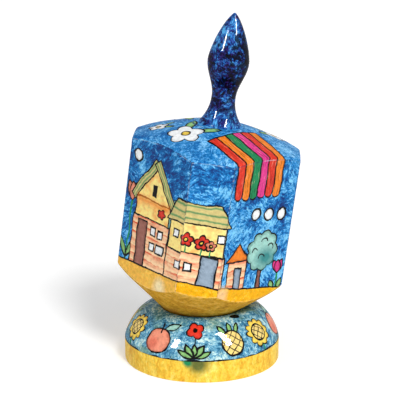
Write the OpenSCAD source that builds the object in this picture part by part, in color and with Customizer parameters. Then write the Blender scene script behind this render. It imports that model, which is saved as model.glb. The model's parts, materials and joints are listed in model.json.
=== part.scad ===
// Painted wooden dreidel leaning in its turned ring stand.
// Origin: centre of the stand's underside, on the table. +Z is up and -Y is the front.

/* [Ring stand] */
// Outside diameter of the stand
stand_d = 60; // [56:0.5:70]
// Height of the stand from the table to its rim
stand_h = 21; // [19:0.5:28]
// Height of the straight band below the dome
band_h = 8.3; // [4:0.1:12]
// Diameter of the socket that the cone sits in
socket_d = 31.5; // [28:0.5:36]
// Radius of the rounded edge between the socket and the dome
rim_round = 0.8; // [0.4:0.1:1.5]
// Width of the small bevel round the stand's underside
foot_bevel = 0.6; // [0.3:0.1:1.2]
// Fullness of the dome next to the rim, where 1 is a straight slope
dome_top = 2.4; // [1.5:0.1:3.5]
// Fullness of the dome next to the band, where 1 is a straight slope
dome_side = 1.27; // [1:0.01:2]

/* [Block] */
// Width of the block across two opposite painted faces
block_w = 55.5; // [50:0.5:62]
// Width of the flat planed along each upright corner
corner_flat_w = 15.5; // [10:0.5:19]
// Height of the upright corner edges, between the turned ends
edge_h = 50; // [40:1:65]
// Height of the turned cone from its sharp point to the corner edges
cone_h = 27.5; // [24:0.5:32]
// Radius of the rounded tip of the cone
tip_r = 1.5; // [1:0.1:2.5]
// Rise of the turned shoulder from the corner edges to the handle's seat
shoulder_h = 7.5; // [5:0.5:12]
// Swell of the shoulder, where 1 is a straight slope
shoulder_swell = 1.28; // [1:0.02:1.8]
// Radius that the upright edges are sanded to
arris_r = 0.8; // [0.4:0.1:1.5]

/* [Handle] */
// Height of the handle above its seat on the block
handle_h = 42; // [34:1:55]
// Diameter of the flared foot
foot_d = 16; // [14:0.5:20]
// Thickness of the foot at its edge
foot_edge = 0.4; // [0.2:0.1:1]
// Diameter of the neck
neck_d = 9; // [8:0.1:11]
// Height of the neck above the seat
neck_z = 10.5; // [8:0.5:14]
// Diameter of the knob that the fingers hold
knob_d = 15.5; // [13:0.5:19]
// Height of the knob's widest place above the seat
knob_z = 24; // [20:0.5:28]

/* [Glued joint] */
// Diameter of the tenon turned on the handle's lower end
tenon_d = 7; // [6:0.1:7.5]
// Length of the tenon
tenon_l = 16; // [10:1:20]
// Glue space round the tenon
glue_gap = 0.1; // [0.05:0.01:0.2]
// Glue space below the tenon
glue_well = 1; // [0.5:0.1:2]
// Lead bevel on the tenon's end
tenon_bevel = 0.8; // [0.4:0.1:1.5]

/* [Seat in the stand] */
// Running gap between the cone and the socket's rounded rim
seat_gap = 0.2; // [0.1:0.05:0.3]
// Gap between the cone's tip and the socket's floor
tip_gap = 4.6; // [2:0.1:5]
// Angle by which the dreidel leans out of upright
lean = 7.6; // [0:0.1:15]
// Direction that it leans to, counted from +X towards +Y
lean_towards = -16; // [-180:1:180]
// Turn of the dreidel about its own axis, from a corner flat facing the front
own_turn = -2.8; // [-45:0.1:45]

/* [Hidden] */

// Curves of the lathe work
$fn = 96;
// Straight steps along a turned curve
curve_steps = 20;
// Straight steps round a small rounded edge
round_steps = 4;
// How far a cut or a hidden part runs past the surface it starts from
overrun = 1;

// Socket and rim
socket_r = socket_d / 2;
stand_r = stand_d / 2;
rim_r = socket_r + rim_round;
dome_h = stand_h - band_h;

// Cross-section of the block: eight sides, wide faces and corner flats in turn
sides = 8;
side_turn = 360 / sides;
face_y = block_w / 2;
corner_x = face_y - corner_flat_w / sqrt(2);
corner_r = norm([face_y, corner_x]);

// The cone, measured from its sharp point
cone_half = atan2(corner_r, cone_h);
edge_top = cone_h + edge_h;
seat_z = edge_top + shoulder_h;
foot_r = foot_d / 2;
tip_centre = tip_r / sin(cone_half);

// Radius of the handle
neck_r = neck_d / 2;
knob_r = knob_d / 2;
// How quickly the foot's cove closes on the neck, and how full the knob's top is
cove_power = 2.2;
spire_power = 1.4;
spire_close = 0.75;

// Where the cone's sharp point lies when the dreidel leans in the socket.
// A larger cone, offset by the rim's round and the gap, rests on the circle that the round is
// swept along. It touches that circle at the two ends of the diameter that it leans along.
rest_spread = tan(cone_half + lean) + tan(cone_half - lean);
rest_depth = 2 * rim_r / rest_spread;
rest_lift = (rim_round + seat_gap) / sin(cone_half);
point_x = rim_r - rest_depth * tan(cone_half + lean) + rest_lift * sin(lean);
point_z = stand_h - rim_round - rest_depth + rest_lift * cos(lean);

// The socket's floor follows the lowest place of the rounded tip
tip_low = point_z + tip_centre * cos(lean) - tip_r;
socket_floor = tip_low - tip_gap;

// The spin axis, for the record
axis_dir = [
    sin(lean) * cos(lean_towards),
    sin(lean) * sin(lean_towards),
    cos(lean)
];
point_at = [point_x * cos(lean_towards), point_x * sin(lean_towards), point_z];
echo(point = point_at, axis = axis_dir, socket_floor = socket_floor, tip_low = tip_low);

// Height of the dome above the band at a radius between the rim and the outside
function dome_z(r) =
    dome_h * pow(max(0, 1 - pow((r - rim_r) / (stand_r - rim_r), dome_top)), 1 / dome_side);

// Unit vector at an angle
function unit(a) = [cos(a), sin(a)];

// Sharp corner of the block's outline between side k and the next
function outline_corner(k) =
    k % 2 == 0
        ? face_y * unit(k * side_turn) + corner_x * unit(k * side_turn + 90)
        : face_y * unit((k + 1) * side_turn) - corner_x * unit((k + 1) * side_turn + 90);

// Height of the shoulder at a radius, measured from the cone's sharp point
function shoulder_z(r) =
    let (in_share = (corner_r - r) / (corner_r - foot_r))
    in_share < 0
        ? edge_top + shoulder_h * shoulder_swell * in_share
        : edge_top + shoulder_h * (1 - pow(1 - in_share, shoulder_swell));

// Radius of the handle at a height above its seat
function cove_r(z) =
    neck_r + (foot_r - neck_r) * pow((neck_z - z) / (neck_z - foot_edge), cove_power);
function swell_r(z) =
    neck_r + (knob_r - neck_r) * (1 - cos(180 * (z - neck_z) / (knob_z - neck_z))) / 2;
function spire_r(z) =
    knob_r * pow(max(0, 1 - pow((z - knob_z) / (handle_h - knob_z), spire_power)), spire_close);

// Places its children, modelled upright on the cone's sharp point, in the stand
module in_stand() {
    rotate([0, 0, lean_towards])
        translate([point_x, 0, point_z])
            rotate([0, lean, 0])
                rotate([0, 0, own_turn - lean_towards])
                    children();
}

// The stand: straight band, full dome, rounded rim and a bored socket with a flat floor
module ring_stand() {
    dome = [for (i = [0:curve_steps])
        let (r = rim_r + (stand_r - rim_r) * sin(90 * i / curve_steps))
        [r, band_h + dome_z(r)]];
    rim = [for (i = [1:round_steps])
        [rim_r, stand_h - rim_round] + rim_round * unit(90 + 90 * i / round_steps)];
    profile = concat(
        [[0, 0], [stand_r - foot_bevel, 0], [stand_r, foot_bevel]],
        [for (i = [curve_steps:-1:0]) dome[i]],
        rim,
        [[socket_r, socket_floor], [0, socket_floor]]
    );
    color([0.32, 0.55, 0.70])
        rotate_extrude() polygon(profile);
}

// Outline of the block across its grain: four painted faces, four corner flats, sanded edges
module block_outline() {
    inset = arris_r / cos(side_turn / 2);
    polygon([for (k = [0:sides - 1], i = [0:round_steps])
        outline_corner(k)
            - inset * unit((k + 1 / 2) * side_turn)
            + arris_r * unit((k + i / round_steps) * side_turn)]);
}

// What the lathe leaves: rounded tip, straight cone below, swelling shoulder above
module turned_ends() {
    past_r = corner_r + overrun;
    tip = [for (i = [0:round_steps])
        let (a = -90 + (90 - cone_half) * i / round_steps)
        [0, tip_centre] + tip_r * unit(a)];
    shoulder = [for (i = [0:curve_steps])
        let (r = past_r + (foot_r - past_r) * i / curve_steps)
        [r, shoulder_z(r)]];
    rotate_extrude()
        polygon(concat(tip, [[past_r, past_r / tan(cone_half)]], shoulder, [[0, seat_z]]));
}

// The block, with the hole for the handle's tenon
module dreidel_block() {
    color([0.18, 0.48, 0.74])
        in_stand()
            difference() {
                intersection() {
                    rotate([0, 0, 45])
                        linear_extrude(height = seat_z + overrun)
                            block_outline();
                    turned_ends();
                }
                translate([0, 0, seat_z - tenon_l - glue_well])
                    cylinder(r = tenon_d / 2 + glue_gap, h = tenon_l + glue_well + overrun);
            }
}

// The handle: tenon, flared foot, neck, knob and pointed top, turned in one piece
module handle() {
    lower = [for (i = [0:curve_steps])
        let (z = foot_edge + (neck_z - foot_edge) * i / curve_steps) [cove_r(z), z]];
    middle = [for (i = [1:curve_steps])
        let (z = neck_z + (knob_z - neck_z) * i / curve_steps) [swell_r(z), z]];
    upper = [for (i = [1:curve_steps])
        let (z = knob_z + (handle_h - knob_z) * sin(90 * i / curve_steps)) [spire_r(z), z]];
    tenon_r = tenon_d / 2;
    tenon = [
        [0, -tenon_l],
        [tenon_r - tenon_bevel, -tenon_l],
        [tenon_r, tenon_bevel - tenon_l],
        [tenon_r, 0]
    ];
    color([0.07, 0.17, 0.42])
        in_stand()
            translate([0, 0, seat_z])
                rotate_extrude()
                    polygon(concat(tenon, [[foot_r, 0]], lower, middle, upper));
}

ring_stand();
dreidel_block();
handle();
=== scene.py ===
"""Painted wooden dreidel leaning in its turned ring stand, laid out as a Blender add-on."""

import json
import math
from collections import namedtuple

import bmesh
import bpy
from mathutils import Matrix, Vector


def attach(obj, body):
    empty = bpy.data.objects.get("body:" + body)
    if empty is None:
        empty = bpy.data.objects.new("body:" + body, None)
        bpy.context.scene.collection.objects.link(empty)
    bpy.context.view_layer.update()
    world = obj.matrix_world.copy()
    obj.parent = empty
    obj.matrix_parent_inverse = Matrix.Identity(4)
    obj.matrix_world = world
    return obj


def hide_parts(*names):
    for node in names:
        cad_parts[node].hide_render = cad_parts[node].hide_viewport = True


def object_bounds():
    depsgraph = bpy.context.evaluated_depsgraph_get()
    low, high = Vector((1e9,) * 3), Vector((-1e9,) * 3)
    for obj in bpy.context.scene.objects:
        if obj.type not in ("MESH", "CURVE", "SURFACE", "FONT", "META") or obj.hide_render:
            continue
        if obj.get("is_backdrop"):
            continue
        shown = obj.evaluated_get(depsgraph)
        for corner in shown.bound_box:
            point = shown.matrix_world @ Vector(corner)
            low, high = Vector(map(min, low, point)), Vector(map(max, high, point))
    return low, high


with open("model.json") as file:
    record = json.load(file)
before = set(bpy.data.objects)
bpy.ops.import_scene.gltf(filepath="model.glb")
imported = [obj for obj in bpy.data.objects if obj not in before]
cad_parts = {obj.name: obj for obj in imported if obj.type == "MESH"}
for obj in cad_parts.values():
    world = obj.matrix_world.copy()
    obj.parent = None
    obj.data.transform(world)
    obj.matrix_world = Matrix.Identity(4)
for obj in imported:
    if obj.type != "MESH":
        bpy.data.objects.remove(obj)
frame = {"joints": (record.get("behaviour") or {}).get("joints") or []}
cad_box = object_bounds()

bl_info = {
    "name": "Painted dreidel",
    "version": (1, 0, 0),
    "blender": (4, 5, 0),
    "location": "View3D > Sidebar > Dreidel",
    "description": "Builds a painted wooden dreidel, its ring stand and a plain studio",
    "category": "Add Mesh",
}

MM = 0.001
# Places that are closer than this are the same
NEAR = 0.01 * MM
SPIN = frame["joints"][0]
AXIS = Vector(SPIN["axis"]).normalized()
CONE_POINT = Vector(SPIN["pos_m"])


def linear(red, green, blue):
    """A colour given in 0 to 255 as a painter's chart shows it, as Blender's linear values."""
    parts = []
    for part in (red, green, blue):
        share = part / 255
        parts.append(share / 12.92 if share <= 0.04045 else ((share + 0.055) / 1.055) ** 2.4)
    return tuple(parts)


def chart(*colours):
    return [linear(*colour) for colour in colours]


def length_value(label, about, size):
    """A property that holds a length, given here in millimetres."""
    return bpy.props.FloatProperty(
        name=label, description=about, default=size * MM, min=0, precision=4, unit="LENGTH"
    )


def shape_value(label, about, value):
    """A property that holds a plain number, such as how full a curve is."""
    return bpy.props.FloatProperty(name=label, description=about, default=value, min=0)


def colour_value(label, about, *colour):
    """A property that holds a paint's colour, given here in 0 to 255."""
    return bpy.props.FloatVectorProperty(
        name=label, description=about, default=linear(*colour), min=0, max=1, subtype="COLOR"
    )


class StandSizes(bpy.types.PropertyGroup):
    """Sizes of the turned ring stand."""

    width: length_value("Width", "Outside diameter of the stand", 60)
    height: length_value("Height", "From the table to the rim", 21)
    band: length_value("Band", "Height of the straight band below the dome", 8.3)
    socket: length_value("Socket", "Diameter of the hole that the cone sits in", 31.5)
    socket_floor: length_value("Socket floor", "Height of the socket's floor", 3.90339)
    rim_round: length_value("Rim", "Radius of the rounded rim", 0.8)
    foot_bevel: length_value("Foot bevel", "Width of the bevel round the underside", 0.6)
    dome_top: shape_value("Dome top", "Fullness of the dome next to the rim", 2.4)
    dome_side: shape_value("Dome side", "Fullness of the dome next to the band", 1.27)


class BlockSizes(bpy.types.PropertyGroup):
    """Sizes of the dreidel's block."""

    width: length_value("Width", "Across two opposite painted faces", 55.5)
    corner_flat: length_value("Corner flat", "Width of the flat along each corner", 15.5)
    edge: length_value("Edge", "Height of the upright corner edges", 50)
    cone: length_value("Cone", "From the sharp point to the corner edges", 27.5)
    tip_round: length_value("Tip", "Radius of the cone's rounded tip", 1.5)
    shoulder: length_value("Shoulder", "Rise from the corner edges to the handle's seat", 7.5)
    swell: shape_value("Swell", "Swell of the shoulder, where 1 is straight", 1.28)
    arris: length_value("Arris", "Radius that the upright edges are sanded to", 0.8)
    rim_sanding: length_value("Rim sanding", "Width sanded off the curved edges", 0.8)
    own_turn: bpy.props.FloatProperty(
        name="Turn",
        description="Turn of the dreidel about its own axis at rest",
        default=math.radians(-2.8),
        unit="ROTATION",
    )


class HandleSizes(bpy.types.PropertyGroup):
    """Sizes of the turned handle."""

    height: length_value("Height", "From the seat to the tip", 42)
    foot: length_value("Foot", "Diameter of the flared foot", 16)
    foot_edge: length_value("Foot edge", "Thickness of the foot at its edge", 0.4)
    neck: length_value("Neck", "Diameter of the neck", 9)
    neck_height: length_value("Neck height", "Height of the neck above the seat", 10.5)
    knob: length_value("Knob", "Diameter of the knob", 15.5)
    knob_height: length_value("Knob height", "Height of the knob's widest place", 24)
    tenon: length_value("Tenon", "Diameter of the tenon below the foot", 7)
    tenon_length: length_value("Tenon length", "From the seat to the tenon's end", 16)
    tenon_bevel: length_value("Tenon bevel", "Width of the bevel on the tenon's end", 0.8)
    glue_gap: length_value("Glue gap", "Space for glue round the tenon", 0.1)
    glue_well: length_value("Glue well", "Space for glue below the tenon", 1)


class Paints(bpy.types.PropertyGroup):
    """The paints that the object is decorated with."""

    ink: colour_value("Ink", "Pen outlines", 10, 10, 13)
    navy: colour_value("Navy", "Darkest strokes on the walls", 14, 54, 122)
    deep: colour_value("Deep blue", "Darker strokes of the blue ground", 10, 90, 162)
    blue: colour_value("Blue", "Blue ground of the walls", 26, 136, 208)
    pale: colour_value("Pale blue", "Thin places of the walls' blue", 128, 206, 250)
    olive: colour_value("Olive", "Dark places of the yellow", 236, 180, 16)
    amber: colour_value("Amber", "Thicker yellow", 240, 164, 6)
    yellow: colour_value("Yellow", "Golden yellow below the pictures", 252, 188, 8)
    honey: colour_value("Honey", "Thin places of the yellow", 250, 200, 70)
    parchment: colour_value("Parchment", "What the yellow is thinned to", 232, 212, 150)
    ivory: colour_value("Ivory", "Left smear on the yellow", 246, 226, 176)
    # Painted highlights: ivory and apricot are pale soft spots laid on the yellow where lamps glint
    apricot: colour_value("Apricot", "Right smear on the yellow", 250, 200, 140)
    lemon: colour_value("Lemon", "Sunflowers and the hearts of flowers", 247, 215, 92)
    straw: colour_value("Straw", "Pale yellow plaster", 255, 230, 140)
    sand: colour_value("Sand", "Roof boards", 214, 196, 128)
    plank: colour_value("Plank", "Ground of the plank walls", 255, 214, 168)
    streak: colour_value("Streak", "Streaks on the plank walls", 226, 82, 44)
    brown: colour_value("Brown", "Doors and trunks", 158, 104, 92)
    red: colour_value("Red", "Red motifs", 222, 58, 42)
    orange: colour_value("Orange", "Orange motifs", 240, 132, 40)
    coral: colour_value("Coral", "Fruit and coral flowers", 236, 150, 122)
    blush: colour_value("Blush", "Shade on the fruit", 226, 120, 96)
    green: colour_value("Green", "Stems and stripes", 34, 138, 86)
    leaf: colour_value("Leaf", "Leaves", 148, 200, 128)
    mint: colour_value("Mint", "Tree tops and the fruit's leaf", 160, 210, 200)
    teal: colour_value("Teal", "Shade on the tree tops", 60, 138, 138)
    pink: colour_value("Pink", "Pink motifs", 226, 62, 142)
    white: colour_value("White", "Blossoms, pips and windows", 244, 247, 248)
    slate: colour_value("Slate", "Grey-blue doors", 150, 168, 186)
    cream: colour_value("Cream", "Thin places of the awning", 255, 232, 190)
    rind: colour_value("Rind", "Ground of the pen lattices", 240, 212, 128)
    grime: colour_value("Grime", "Dark wear along the upright edges", 40, 46, 60)
    chalk: colour_value("Chalk", "Pale wear along the upright edges", 226, 230, 230)
    dusk: colour_value("Dusk", "Dark wear along the shoulder's edge", 14, 40, 96)
    frost: colour_value("Frost", "Pale wear along the shoulder's edge", 200, 228, 242)
    buff: colour_value("Buff", "Wear along the cone's edge", 250, 224, 150)
    # Painted shade: a warm brown laid low on the cone where the stand's rim shades it
    rust: colour_value("Rust", "Where the rim rubs the cone", 168, 92, 40)
    # A broken dark ring on the shoulder round the handle's foot
    midnight: colour_value("Midnight", "Strokes round the handle's foot", 18, 48, 104)
    violet: colour_value("Violet", "Violet tint of the handle", 58, 36, 122)
    black: colour_value("Black", "Blots on the handle", 2, 3, 10)
    moss: colour_value("Moss", "Green clouds on the dome", 96, 132, 92)
    # Painted shadow: near-black for the shaded gap between the cone and the stand's rim
    pitch: colour_value("Pitch", "Blot by the stand's rim", 6, 6, 8)
    khaki: colour_value("Khaki", "Smear on the band", 104, 112, 52)
    scuff: colour_value("Scuff", "Scuffs on the band", 170, 112, 50)
    wood: colour_value("Wood", "Bare wood", 206, 164, 112)
    grain: colour_value("Grain", "Dark lines of the bare wood", 150, 104, 62)


def stand_sizes():
    return bpy.context.scene.dreidel_stand


def block_sizes():
    return bpy.context.scene.dreidel_block


def handle_sizes():
    return bpy.context.scene.dreidel_handle


# Places on the upright dreidel, measured from its cone's sharp point

def seat_height():
    """Height of the handle's seat."""
    sizes = block_sizes()
    return sizes.cone + sizes.edge + sizes.shoulder


def corner_radius():
    """Distance from the axis to the corners between the flats."""
    sizes = block_sizes()
    half = sizes.width / 2
    return math.hypot(half, half - sizes.corner_flat / math.sqrt(2))


def shoulder_height(radius):
    sizes = block_sizes()
    corner = corner_radius()
    share = (corner - radius) / (corner - handle_sizes().foot / 2)
    rise = sizes.swell * share if share < 0 else 1 - (1 - share) ** sizes.swell
    return sizes.cone + sizes.edge + sizes.shoulder * rise


def in_stand():
    """Where the upright dreidel goes: its place and its lean in the stand."""
    towards = math.atan2(AXIS.y, AXIS.x)
    lean = Matrix.Rotation(math.acos(AXIS.z), 4, "Y")
    spun = Matrix.Rotation(block_sizes().own_turn - towards, 4, "Z")
    return Matrix.Translation(CONE_POINT) @ Matrix.Rotation(towards, 4, "Z") @ lean @ spun


# Shader maths

class Link:
    """A node's output socket. Arithmetic on it adds Math nodes."""

    def __init__(self, shader, socket):
        self.shader = shader
        self.socket = socket

    def __add__(self, other):
        return self.shader.maths("ADD", self, other)

    def __sub__(self, other):
        return self.shader.maths("SUBTRACT", self, other)

    def __rsub__(self, other):
        return self.shader.maths("SUBTRACT", other, self)

    def __mul__(self, other):
        return self.shader.maths("MULTIPLY", self, other)

    def __abs__(self):
        return self.shader.maths("ABSOLUTE", self)

    __radd__ = __add__
    __rmul__ = __mul__


def tone(colour):
    """The colour of a paint that is given by name. Colours and links pass through."""
    return getattr(bpy.context.scene.dreidel_paints, colour) if isinstance(colour, str) else colour


def rgba(colour):
    """A paint or a colour as a socket wants it. Links pass through."""
    colour = tone(colour)
    return colour if isinstance(colour, Link) else (*colour, 1)


def deeper(colour):
    """The same paint, laid on thicker."""
    return tuple(part * 0.62 ** (1.6 - part) for part in tone(colour))


COAT_ROUGHNESS = 0.045
UNDERCOAT_SHINE = 0


class Shader:
    """The nodes of one material, or of the world. Scales are for places in millimetres."""

    def __init__(self, name, world=None):
        self.material = world or bpy.data.materials.new(name)
        self.material.use_nodes = True
        self.nodes = self.material.node_tree.nodes
        self.nodes.clear()

    def node(self, kind, settings=None, inputs=None, output=0):
        """Adds a node: its settings first, then what its sockets hold or are linked to."""
        made = self.nodes.new("ShaderNode" + kind)
        for key, value in (settings or {}).items():
            if key == "stops":
                self.set_stops(made.color_ramp, value)
            else:
                setattr(made, key, value)
        for key, value in (inputs or {}).items():
            if isinstance(value, Link):
                self.material.node_tree.links.new(value.socket, made.inputs[key])
            else:
                made.inputs[key].default_value = value
        return Link(self, made.outputs[output]) if made.outputs else None

    def set_stops(self, ramp, stops):
        while len(ramp.elements) < len(stops):
            ramp.elements.new(1)
        for element, (position, colour) in zip(ramp.elements, stops):
            element.position = position
            element.color = rgba(colour)

    def maths(self, operation, *values, clamp=False):
        settings = {"operation": operation, "use_clamp": clamp}
        return self.node("Math", settings, dict(enumerate(values)))

    def vector(self, operation, *values):
        """A Vector Math node. Lengths and products come out as a number."""
        number = operation in ("LENGTH", "DISTANCE", "DOT_PRODUCT")
        settings = {"operation": operation}
        return self.node("VectorMath", settings, dict(enumerate(values)), output=int(number))

    def scaled(self, vector, amount):
        return self.node("VectorMath", {"operation": "SCALE"}, {"Vector": vector, "Scale": amount})

    def split(self, vector):
        """The three parts of a vector."""
        first = self.node("SeparateXYZ", inputs={0: vector})
        return [Link(self, socket) for socket in first.socket.node.outputs]

    def join(self, x, y):
        return self.node("CombineXYZ", inputs={0: x, 1: y})

    def mix(self, below, above, share):
        """One colour laid over another."""
        inputs = {0: share, 6: rgba(below), 7: rgba(above)}
        return self.node("Mix", {"data_type": "RGBA"}, inputs, output=2)

    def mapped(self, vector, place=(0, 0, 0), turn=(0, 0, 0), scale=(1, 1, 1)):
        """The vector as seen from a place, turned and measured in the given scale."""
        inputs = {"Vector": vector, "Location": place, "Rotation": turn, "Scale": scale}
        return self.node("Mapping", {"vector_type": "TEXTURE"}, inputs)

    def noise(self, place, scale, detail=3, roughness=0.55, distortion=0, drawn=None, colour=False):
        """Soft noise. Where it is drawn by three factors, its marks grow long the other way."""
        inputs = {
            "Vector": self.vector("MULTIPLY", place, drawn) if drawn else place,
            "Scale": scale,
            "Detail": detail,
            "Roughness": roughness,
            "Distortion": distortion,
        }
        return self.node("TexNoise", inputs=inputs, output=int(colour))

    def ramp(self, share, stops, steps=False):
        made = self.node("ValToRGB", {"stops": stops}, {0: share})
        made.socket.node.color_ramp.interpolation = "CONSTANT" if steps else "LINEAR"
        return made

    def inside(self, distance, soft):
        """1 where a distance is below zero, 0 where it is above."""
        return self.maths("MULTIPLY_ADD", distance, -1 / soft, 0.5, clamp=True)

    def rising(self, value, start, end):
        """0 up to start, 1 from end on, straight between. Falls where end is below start."""
        slope = 1 / (end - start)
        return self.maths("MULTIPLY_ADD", value, slope, -start * slope, clamp=True)

    def looked_at(self):
        """1 for what the camera, varnish and glass show, 0 for the light that falls on things."""
        outputs = self.node("LightPath").socket.node.outputs
        share = 0
        for name in ("Is Camera Ray", "Is Glossy Ray", "Is Transmission Ray"):
            share = self.maths("MAXIMUM", share, Link(self, outputs[name]))
        return share

    def seen_from(self, whole):
        """Object coordinates in millimetres, as seen from a place in the object."""
        raw = self.node("TexCoord", output=3)
        return self.mapped(raw, whole.translation, whole.to_euler(), (MM, MM, MM))

    def shade(self, kind, inputs, target="OutputMaterial"):
        """Ends the nodes in a shader."""
        self.node(target, inputs={"Surface": self.node(kind, inputs=inputs)})
        return self.material

    def finish(self, colour, roughness, height, depth, coat):
        """Varnished surface: colour and roughness from nodes, and a bump of the given depth."""
        bump = {"Strength": 1, "Distance": depth * MM, "Height": height}
        inputs = {
            "Base Color": colour,
            "Roughness": roughness,
            "Normal": self.node("Bump", inputs=bump),
            "Coat Weight": coat,
            "Coat Roughness": COAT_ROUGHNESS,
            "Specular IOR Level": UNDERCOAT_SHINE,
        }
        return self.shade("BsdfPrincipled", inputs)


# Shapes that are painted: each has its middle, its reach and how to work out the distance to it

Shape = namedtuple("Shape", "x y reach distance")
EDGE_SOFT = 0.13
PEN = 0.6


def ellipse(x, y, rx, ry=None, turn=0):
    ry = ry or rx

    def distance(canvas):
        seen = canvas.placed(x, y, turn, rx, ry)
        return (canvas.vector("LENGTH", seen) - 1) * min(rx, ry)

    return Shape(x, y, max(rx, ry), distance)


def box(x, y, half_width, half_height, turn=0):
    def distance(canvas):
        folded = canvas.vector("ABSOLUTE", canvas.placed(x, y, turn))
        past = canvas.split(canvas.vector("SUBTRACT", folded, (half_width, half_height, 0)))
        return canvas.maths("MAXIMUM", past[0], past[1])

    return Shape(x, y, math.hypot(half_width, half_height), distance)


def stroke(x, y, end_x, end_y, width):
    length = math.hypot(end_x - x, end_y - y)
    turn = math.degrees(math.atan2(end_y - y, end_x - x))

    def distance(canvas):
        seen = canvas.placed(x, y, turn)
        near = canvas.vector("MINIMUM", canvas.vector("MAXIMUM", seen, (0, 0, 0)), (length, 0, 0))
        return canvas.vector("DISTANCE", seen, near) - width / 2

    return Shape((x + end_x) / 2, (y + end_y) / 2, length / 2 + width, distance)


def leaf(x, y, length, width, turn):
    """A pointed leaf with its middle at x, y."""
    half = width / 2
    radius = (length * length / 4 + half * half) / width

    def distance(canvas):
        folded = canvas.vector("ABSOLUTE", canvas.placed(x, y, turn))
        return canvas.vector("DISTANCE", folded, (0, half - radius, 0)) - radius

    return Shape(x, y, length / 2, distance)


def blossom(x, y, radius, petals, depth=0.34, turn=0):
    """A flower seen from above, with round petals."""

    def distance(canvas):
        seen = canvas.placed(x, y, turn)
        parts = canvas.split(seen)
        angle = canvas.maths("ARCTAN2", parts[1], parts[0])
        wave = abs(canvas.maths("COSINE", angle * (petals / 2)))
        edge = canvas.maths("MULTIPLY_ADD", wave, depth * radius, (1 - depth) * radius)
        return canvas.vector("LENGTH", seen) - edge

    return Shape(x, y, radius, distance)


def polygon(*corners):
    """A convex shape with straight sides, corners given anticlockwise."""
    x = sum(corner[0] for corner in corners) / len(corners)
    y = sum(corner[1] for corner in corners) / len(corners)
    reach = max(math.hypot(corner[0] - x, corner[1] - y) for corner in corners)

    def distance(canvas):
        furthest = None
        for start, end in zip(corners, corners[1:] + corners[:1]):
            along = Vector((end[0] - start[0], end[1] - start[1], 0)).normalized()
            outward = (along.y, -along.x, 0)
            level = outward[0] * start[0] + outward[1] * start[1]
            past = canvas.vector("DOT_PRODUCT", canvas.place, outward) - level
            furthest = past if furthest is None else canvas.maths("MAXIMUM", furthest, past)
        return furthest

    return Shape(x, y, reach, distance)


def curl(x, y, radius, turn=0):
    """A pen stroke along half a circle, open below."""

    def distance(canvas):
        seen = canvas.placed(x, y, turn)
        off = abs(canvas.vector("LENGTH", seen) - radius) - PEN * 0.42
        return canvas.maths("MAXIMUM", off, canvas.split(seen)[1] * -1)

    return Shape(x, y, radius + PEN, distance)


# How far the hand wanders and trembles
WOBBLE = 1.7
TREMBLE = 0.45
# How the brush leaves a shape's rim: its uneven streaks and its softness
BRUSH_STREAKS = 3.4
BRUSH_SOFT = 1.3


class Canvas(Shader):
    """A material that is painted by hand: a place on it in millimetres and its colour so far."""

    def stretch(self, place, window, grain=None):
        """Sets the place, the part of it that shows, and where brush marks are read if that
        isn't the place itself.
        """
        self.window = window
        self.grain = grain or place
        wander = self.noise(self.grain, 0.14, detail=1, colour=True)
        centred = (-WOBBLE / 2, -WOBBLE / 2, 0)
        wobble = self.vector("MULTIPLY_ADD", wander, (WOBBLE, WOBBLE, 0), centred)
        tremble = self.noise(self.grain, 0.75, detail=1, colour=True)
        wobble = self.vector("MULTIPLY_ADD", tremble, (TREMBLE, TREMBLE, 0), wobble)
        self.place = self.vector("MULTIPLY_ADD", place, (1, 1, 0), wobble)
        self.pressure = self.noise(self.grain, 0.3)
        turned = self.mapped(self.grain, turn=(0, 0, 0.9))
        self.streaks = self.noise(turned, 0.9, roughness=0.65, drawn=(1.5, 0.4, 1))

    def placed(self, x, y, turn=0, scale_x=1, scale_y=1):
        turned = (0, 0, math.radians(turn))
        return self.mapped(self.place, (x, y, 0), turned, (scale_x, scale_y, 1))

    def shows(self, shape):
        left, right, low, high = self.window
        reach = shape.reach + 1
        across = left - reach < shape.x < right + reach
        return across and low - reach < shape.y < high + reach

    def lay(self, colour, share):
        self.colour = self.mix(self.colour, colour, share)

    def fill(self, colour, *shapes, pen=PEN, soft=EDGE_SOFT, rim=0.7):
        """Paints shapes, deeper along their rims, and outlines them unless the pen is 0."""
        for shape in filter(self.shows, shapes):
            distance = shape.distance(self)
            if isinstance(colour, Link) or not pen or not rim:
                self.lay(colour, self.inside(distance, soft))
            else:
                self.lay(deeper(colour), self.inside(distance, soft))
                brushed = distance + (self.streaks * BRUSH_STREAKS - BRUSH_STREAKS / 2 + rim)
                self.lay(colour, self.inside(brushed, BRUSH_SOFT))
            if pen:
                self.lay("ink", self.inside(abs(distance) - self.pressure * pen, EDGE_SOFT))

    def draw(self, *points, colour="ink", width=PEN):
        """A line through points."""
        strokes = [stroke(*start, *end, width) for start, end in zip(points, points[1:])]
        self.fill(colour, *strokes, pen=0)


# Paint grounds and the varnish over them

# Where on the scale from dark to pale a ground takes each of its four tones
TONE_PLACES = (0.42, 0.475, 0.53, 0.6)
# How far strokes may turn from patch to patch, about each axis
ANY_WAY = (6.3, 6.3, 6.3)
NO_WAY = (0, 0, 0)


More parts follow.
